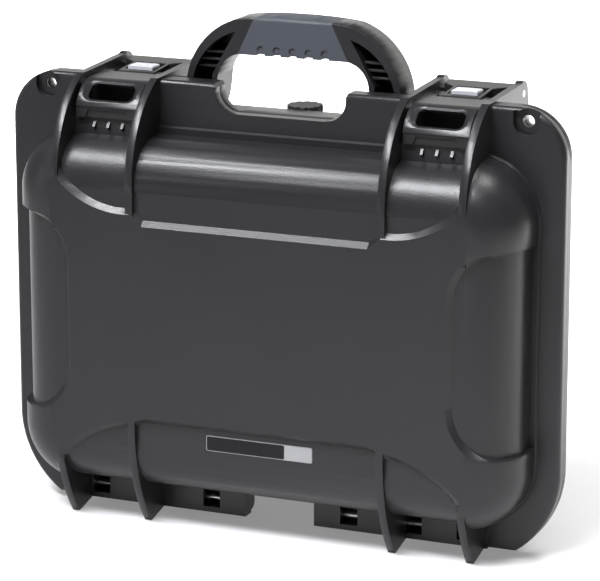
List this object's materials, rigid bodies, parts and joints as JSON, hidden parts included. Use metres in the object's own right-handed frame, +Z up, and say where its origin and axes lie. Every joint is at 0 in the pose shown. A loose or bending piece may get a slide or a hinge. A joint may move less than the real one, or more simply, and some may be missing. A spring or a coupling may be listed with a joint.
{
  "type": "waterproof hard case",
  "caption": "Upright waterproof hard case in charcoal plastic with over-centre latches, a folding top handle, padlock eyes, a pressure valve and a hinged lid.",
  "frame": {"origin": "middle of the footprint, on the floor, with the case standing on its hinge side", "axes": "X to the right as seen from the lid's front, Y from the lid to the back of the base, Z up to the handle"},
  "size_m": [0.424, 0.171, 0.371],
  "materials": {
    "case_plastic": "fine pebbled satin",
    "latch_plastic": "smooth moulded",
    "slide_plastic": "light grey moulded",
    "grip_rubber": "blue-grey soft overmould",
    "seal_rubber": "soft black",
    "pin_steel": "drawn bar",
    "valve_plastic": "moulded"
  },
  "bodies": {
    "base": {"base_shell": "case_plastic", "handle_pin_left": "pin_steel", "handle_pin_right": "pin_steel", "lever_pin_left": "pin_steel", "lever_pin_right": "pin_steel", "valve_body": "valve_plastic", "valve_seal": "seal_rubber", "valve_nut": "valve_plastic"},
    "lid": {"lid_shell": "case_plastic", "lid_gasket": "seal_rubber", "hinge_pin_left": "pin_steel", "hinge_pin_right": "pin_steel"},
    "handle": {"handle_frame": "case_plastic", "handle_grip": "grip_rubber"},
    "valve_cap": {"valve_knob": "valve_plastic"},
    "lever_left": {"latch_lever_left": "latch_plastic", "claw_pin_left": "pin_steel"},
    "claw_left": {"latch_claw_left": "latch_plastic"},
    "slide_left": {"latch_slide_left": "slide_plastic"},
    "lever_right": {"latch_lever_right": "latch_plastic", "claw_pin_right": "pin_steel"},
    "claw_right": {"latch_claw_right": "latch_plastic"},
    "slide_right": {"latch_slide_right": "slide_plastic"}
  },
  "joints": [
    {"name": "lid_hinge", "type": "hinge", "parent": "base", "child": "lid", "pos_m": [0, -0.0265, 0.013], "axis": [1, 0, 0], "range_deg": [0, 100]},
    {"name": "handle_fold", "type": "hinge", "parent": "base", "child": "handle", "pos_m": [0, 0.0015, 0.312], "axis": [-1, 0, 0], "range_deg": [0, 90]},
    {"name": "valve_turn", "type": "hinge", "parent": "base", "child": "valve_cap", "pos_m": [0, 0.0115, 0.3], "axis": [0, 0, 1], "range_deg": [0, 180]},
    {"name": "lever_lift_left", "type": "hinge", "parent": "base", "child": "lever_left", "pos_m": [-0.12525, 0.0355, 0.3205], "axis": [-1, 0, 0], "range_deg": [0, 95]},
    {"name": "claw_swing_left", "type": "hinge", "parent": "lever_left", "child": "claw_left", "pos_m": [-0.12525, -0.0065, 0.3195], "axis": [-1, 0, 0], "range_deg": [0, 50]},
    {"name": "slide_lock_left", "type": "slide", "parent": "lever_left", "child": "slide_left", "axis": [0, 1, 0], "range_m": [0, 0.0055]},
    {"name": "lever_lift_right", "type": "hinge", "parent": "base", "child": "lever_right", "pos_m": [0.12525, 0.0355, 0.3205], "axis": [-1, 0, 0], "range_deg": [0, 95]},
    {"name": "claw_swing_right", "type": "hinge", "parent": "lever_right", "child": "claw_right", "pos_m": [0.12525, -0.0065, 0.3195], "axis": [-1, 0, 0], "range_deg": [0, 50]},
    {"name": "slide_lock_right", "type": "slide", "parent": "lever_right", "child": "slide_right", "axis": [0, 1, 0], "range_m": [0, 0.0055]}
  ]
}
